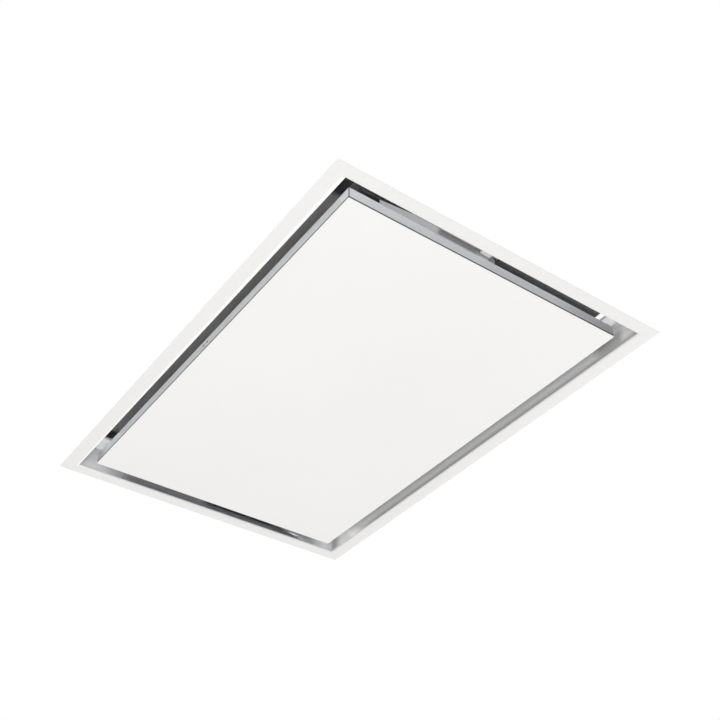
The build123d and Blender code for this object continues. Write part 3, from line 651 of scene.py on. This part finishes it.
# ------------------------------------------------------------------ soft pads with a felted, slightly wavy surface
def soft_pad(verts, faces, x0, x1, y0, y1, z0, z1, step, r, amp, seed):
    def cuts(a, b, s):
        k = max(2, int(round((b - a) / s)))
        inner = [a + (b - a) * i / k for i in range(k + 1)]
        e = min(r, (b - a) * 0.45)
        return sorted(set([round(c, 4) for c in inner] + [round(a + e * 0.35, 4), round(b - e * 0.35, 4), round(a + e, 4), round(b - e, 4)]))
    X, Y, Z = cuts(x0, x1, step), cuts(y0, y1, step), cuts(z0, z1, max(1.5, (z1 - z0) / 3))
    index = {}

    def vert(i, j, k):
        key = (i, j, k)
        if key not in index:
            q = Vector((X[i], Y[j], Z[k]))
            rz = min(r, (z1 - z0) * 0.45)
            inner = Vector((min(max(q.x, x0 + r), x1 - r), min(max(q.y, y0 + r), y1 - r), min(max(q.z, z0 + rz), z1 - rz)))
            d = q - inner
            if d.length > 1e-6:
                e = Vector((d.x / r, d.y / r, d.z / rz))
                e.normalize()
                q = inner + Vector((e.x * r, e.y * r, e.z * rz))
                w = amp * (0.5 + 0.5 * noise.noise(Vector((q.x * 0.045 + seed, q.y * 0.045, q.z * 0.045)))) + amp * 0.35 * (0.5 + 0.5 * noise.noise(Vector((q.x * 0.21, q.y * 0.21 + seed, q.z * 0.21))))
                q -= e * w
            index[key] = len(verts)
            verts.append(q * MM)
        return index[key]
    nx, ny, nz = len(X) - 1, len(Y) - 1, len(Z) - 1
    for i in range(nx):
        for j in range(ny):
            faces.append((vert(i, j, 0), vert(i, j + 1, 0), vert(i + 1, j + 1, 0), vert(i + 1, j, 0)))
            faces.append((vert(i, j, nz), vert(i + 1, j, nz), vert(i + 1, j + 1, nz), vert(i, j + 1, nz)))
    for i in range(nx):
        for k in range(nz):
            faces.append((vert(i, 0, k), vert(i + 1, 0, k), vert(i + 1, 0, k + 1), vert(i, 0, k + 1)))
            faces.append((vert(i, ny, k), vert(i, ny, k + 1), vert(i + 1, ny, k + 1), vert(i + 1, ny, k)))
    for j in range(ny):
        for k in range(nz):
            faces.append((vert(0, j, k), vert(0, j, k + 1), vert(0, j + 1, k + 1), vert(0, j + 1, k)))
            faces.append((vert(nx, j, k), vert(nx, j + 1, k), vert(nx, j + 1, k + 1), vert(nx, j, k + 1)))


v, f = [], []
soft_pad(v, f, 410, 440, -255, 255, 40, 46, 7, 1.4, 0.5, 9.0)
soft_pad(v, f, -440, -410, -255, 255, 40, 46, 7, 1.4, 0.5, 13.0)
soft_pad(v, f, 440.02, 452, 25, 255, 40, 46, 6, 1.2, 0.4, 17.0)
soft_pad(v, f, -452, -440.02, 25, 255, 40, 46, 6, 1.2, 0.4, 21.0)
add_object("lining_soft", v, f, "grey_felt", "hood_body", 80, ["lining_strips"])
v, f = [], []
soft_pad(v, f, 14, 430, -250, 250, 4.3, 6.3, 9, 0.9, 0.25, 30.0)
soft_pad(v, f, -430, -14, -250, 250, 4.3, 6.3, 9, 0.9, 0.25, 40.0)
add_object("tray_pad", v, f, "tray_felt", "access_panel", 80, ["tray_lining"])


# ------------------------------------------------------------------ screws with a cross recess, and blind rivets
def frame_of(axis):
    z = Vector(axis).normalized()
    x = z.orthogonal().normalized() if abs(z.z) < 0.9 else Vector((1, 0, 0))
    return x, z.cross(x), z


def stack(verts, faces, origin, axis, rings, twist=0.0):
    """Joins rings of equal count into a skin, closed at both ends."""
    x, y, z = frame_of(axis)
    o = Vector(origin)
    c, s = math.cos(twist), math.sin(twist)
    base = len(verts)
    n = len(rings[0])
    for ring in rings:
        for a, b, h in ring:
            a, b = a * c - b * s, a * s + b * c
            verts.append((o + x * a + y * b + z * h) * MM)
    for i in range(len(rings) - 1):
        for k in range(n):
            m_ = (k + 1) % n
            faces.append((base + i * n + k, base + i * n + m_, base + (i + 1) * n + m_, base + (i + 1) * n + k))
    faces.append(tuple(base + k for k in range(n))[::-1])
    faces.append(tuple(base + (len(rings) - 1) * n + k for k in range(n)))


ANGLES = [q + 90 * k for k in range(4) for q in (-20, 0, 20, 45)]


def circle16(r, h):
    return [(r * math.cos(math.radians(a)), r * math.sin(math.radians(a)), h) for a in ANGLES]


def cross16(length, width, h):
    pts = []
    for k in range(4):
        c, s = math.cos(math.radians(90 * k)), math.sin(math.radians(90 * k))
        for a, b in ((length, -width), (length, 0), (length, width), (width * 1.25, width * 1.25)):
            pts.append((a * c - b * s, a * s + b * c, h))
    return pts


def cross_screw(verts, faces, origin, axis, head_r, head_h, shank_r, shank_l, twist):
    """origin is under the head, axis points out of the head."""
    pitch = 1.0
    rings = [circle16(shank_r * 0.45, -shank_l)]
    k = int((shank_l - 0.9) / (pitch / 2))
    for i in range(k + 1):
        rings.append(circle16(shank_r * (1.0 if i % 2 else 0.84), -shank_l + 0.7 + i * pitch / 2))
    rings += [circle16(shank_r * 0.84, -0.05), circle16(head_r * 0.94, 0.0), circle16(head_r, head_h * 0.12), circle16(head_r, head_h * 0.42),
              circle16(head_r * 0.95, head_h * 0.66), circle16(head_r * 0.82, head_h * 0.86), circle16(head_r * 0.62, head_h * 0.985),
              cross16(head_r * 0.5, head_r * 0.13, head_h), cross16(head_r * 0.42, head_r * 0.09, head_h * 0.35)]
    stack(verts, faces, origin, axis, rings, twist)


screws_deck = [(x, y) for x in (-350, -120, 120, 350) for y in (-287, 287)] + [(x, y) for x in (-419, 419) for y in (-110, 110)]
screws_lid = [(x, y) for x in (-270, 0, 270) for y in (-192, 192)] + [(-272, 0), (272, 0)]
screws_foot = [(x, y) for x in (-240, -80, 80, 240) for y in (-208, 208)] + [(288, -120), (288, 120), (-288, -150), (-288, 150)]
v, f = [], []
rnd = random.Random(3)
for x, y in screws_foot:
    cross_screw(v, f, (x, y, 111.0), (0, 0, 1), 3.78, 1.98, 1.78, 2.0, rnd.uniform(0, 1.5))
for x, y in screws_deck:
    cross_screw(v, f, (x, y, 48.2), (0, 0, 1), 3.78, 1.98, 1.78, 2.15, rnd.uniform(0, 1.5))
for x, y in screws_lid:
    cross_screw(v, f, (x, y, 269.0), (0, 0, 1), 3.78, 1.98, 1.78, 3.9, rnd.uniform(0, 1.5))
add_object("casing_screws_cut", v, f, "zinc_steel", "hood_body", 38, ["casing_screws"])

v, f = [], []
for x in (-6.5, 6.5):
    for sy in (-1, 1):
        rings = [circle16(1.55, -1.75), circle16(1.55, 0.0), circle16(2.45, 0.02), circle16(2.42, 0.25), circle16(2.1, 0.62), circle16(1.5, 0.93), circle16(0.95, 1.05), circle16(0.85, 0.75), circle16(0.4, 0.68)]
        stack(v, f, (x, sy * 283.0, 13.4), (0, sy, 0), rings)
add_object("panel_rivets_domed", v, f, "rivet_dark", "access_panel", 50, ["panel_rivets"])


# ------------------------------------------------------------------ filter packs: layers of expanded metal with a crimped foil behind
def lattice(verts, faces, cx, cy, hx, hy, z, pitch_x, pitch_y, wide, thick, lift, along_x=True):
    if not along_x:
        hx, hy = hy, hx
    rows = int(2 * hy / pitch_y)
    cols = int(2 * hx / (pitch_x / 2))
    for r in range(rows + 1):
        y0 = -hy + wide + (2 * hy - 2 * wide - pitch_y) * r / rows + pitch_y / 2
        ring = None
        for c in range(cols + 1):
            x = -hx + 2 * hx * c / cols
            side = 1 if (c + r) % 2 else -1
            y = y0 + side * (pitch_y / 2 - wide * 0.45)
            zz = z + (lift if c % 2 else -lift)
            cur = []
            for dy, dz in ((-wide / 2, -thick / 2), (wide / 2, -thick / 2), (wide / 2, thick / 2), (-wide / 2, thick / 2)):
                a, b = (x, y + dy) if along_x else (y + dy, x)
                cur.append(len(verts))
                verts.append(Vector((cx + a, cy + b, zz + dz)) * MM)
            if ring:
                for k in range(4):
                    faces.append((ring[k], ring[(k + 1) % 4], cur[(k + 1) % 4], cur[k]))
            ring = cur


v, f = [], []
for cx in (-267.5, 0.0, 267.5):
    lattice(v, f, cx, 8.5, 114.0, 198.0, 43.6, 11.0, 5.4, 0.9, 0.5, 0.25)
    lattice(v, f, cx, 8.5, 114.0, 198.0, 45.0, 9.0, 6.2, 0.9, 0.5, 0.25, along_x=False)
    lattice(v, f, cx, 8.5, 114.0, 198.0, 46.3, 12.0, 6.6, 1.1, 0.5, 0.25)
    base = len(v)
    NX, NY = 46, 80
    for j in range(NY + 1):
        for i in range(NX + 1):
            x, y = -114.0 + 228.0 * i / NX, -198.0 + 396.0 * j / NY
            v.append(Vector((cx + x, 8.5 + y, 48.1 + 0.75 * noise.noise(Vector((x * 0.16, y * 0.16, cx))) * 0.9)) * MM)
    for j in range(NY):
        for i in range(NX):
            a = base + j * (NX + 1) + i
            f.append((a, a + 1, a + NX + 2, a + NX + 1))
add_object("filter_packs", v, f, "filter_mesh", "hood_body", 40, ["filter_meshes"])

# ------------------------------------------------------------------ the rest of the sheet metal and small parts with rounded edges
for n_, w in (("liner_wall_front", 0.25), ("liner_wall_rear", 0.25), ("liner_wall_left", 0.25), ("liner_wall_right", 0.25),
              ("panel_stiffener", 0.3), ("strike_plates", 0.25), ("hinge_leaves", 0.4), ("hinge_brackets", 0.5), ("catch_brackets", 0.3),
              ("stay_studs", 0.3), ("stay_blade_left", 0.3), ("stay_blade_right", 0.3), ("slider_block_left", 0.5), ("slider_block_right", 0.5), ("stay_rails", 0.25),
              ("hinge_pins", 0.4), ("filter_frame_left", 0.8), ("filter_frame_centre", 0.8), ("filter_frame_right", 0.8),
              ("filter_latch_left", 0.5), ("filter_latch_centre", 0.5), ("filter_latch_right", 0.5), ("plenum_front", 0.25), ("plenum_rear", 0.15), ("plenum_left", 0.25),
              ("plenum_right", 0.25), ("plenum_top", 0.25), ("suspension_brackets", 0.5), ("motor_box_lid", 0.3), ("outlet_collar", 0.25),
              ("control_box", 0.2), ("control_box_cover", 0.35), ("cable_gland", 0.4), ("magnetic_catches", 0.4), ("blower_feet", 0.5), ("scroll_base", 0.25),
              ("scroll_wall", 0.25), ("scroll_cover", 0.25), ("inlet_ring", 0.25), ("fan_impeller", 0.2), ("motor_rotor", 0.4), ("motor_housing", 0.8), ("motor_stator", 0.5),
              ("motor_bearings", 0.3), ("run_capacitor", 0.8), ("control_board", 0.3), ("damper_pin", 0.3), ("damper_flap_left", 0.2), ("damper_flap_right", 0.2)):
    refine(n_, w)

# ------------------------------------------------------------------ studio: pale floor far below, white surroundings, soft lights
me = bpy.data.meshes.new("floor")
me.from_pydata([(-8, -8, -2.4), (8, -8, -2.4), (8, 8, -2.4), (-8, 8, -2.4)], [], [(0, 1, 2, 3)])
floor = bpy.data.objects.new("floor", me)
scene.collection.objects.link(floor)
me.materials.append(plastic("pale_floor", (0.86, 0.86, 0.86), (0.7, 0.8), 60.0, 0.05, 0.01))

world = bpy.data.worlds.new("world")
scene.world = world
world.use_nodes = True
bg = world.node_tree.nodes["Background"]
bg.inputs["Color"].default_value = (1.0, 1.0, 1.0, 1.0)
bg.inputs["Strength"].default_value = 1.0


def area_light(name, loc, target, size, watts, size_y=None):
    d = bpy.data.lights.new(name, "AREA")
    d.shape = "RECTANGLE"
    d.size = size
    d.size_y = size_y or size
    d.energy = watts
    o = bpy.data.objects.new(name, d)
    scene.collection.objects.link(o)
    o.location = loc
    o.rotation_euler = (Vector(target) - Vector(loc)).to_track_quat("-Z", "Y").to_euler()
    return o


area_light("front_soft", (2.5, -2.2, -2.15), (0, 0, 0), 2.2, 72.0)
area_light("below_soft", (0.2, -1.5, -2.25), (0, 0, 0), 1.6, 22.0)
area_light("far_side_soft", (-0.6, 4.6, -1.3), (0, 0, 0), 2.6, 90.0, 1.2)
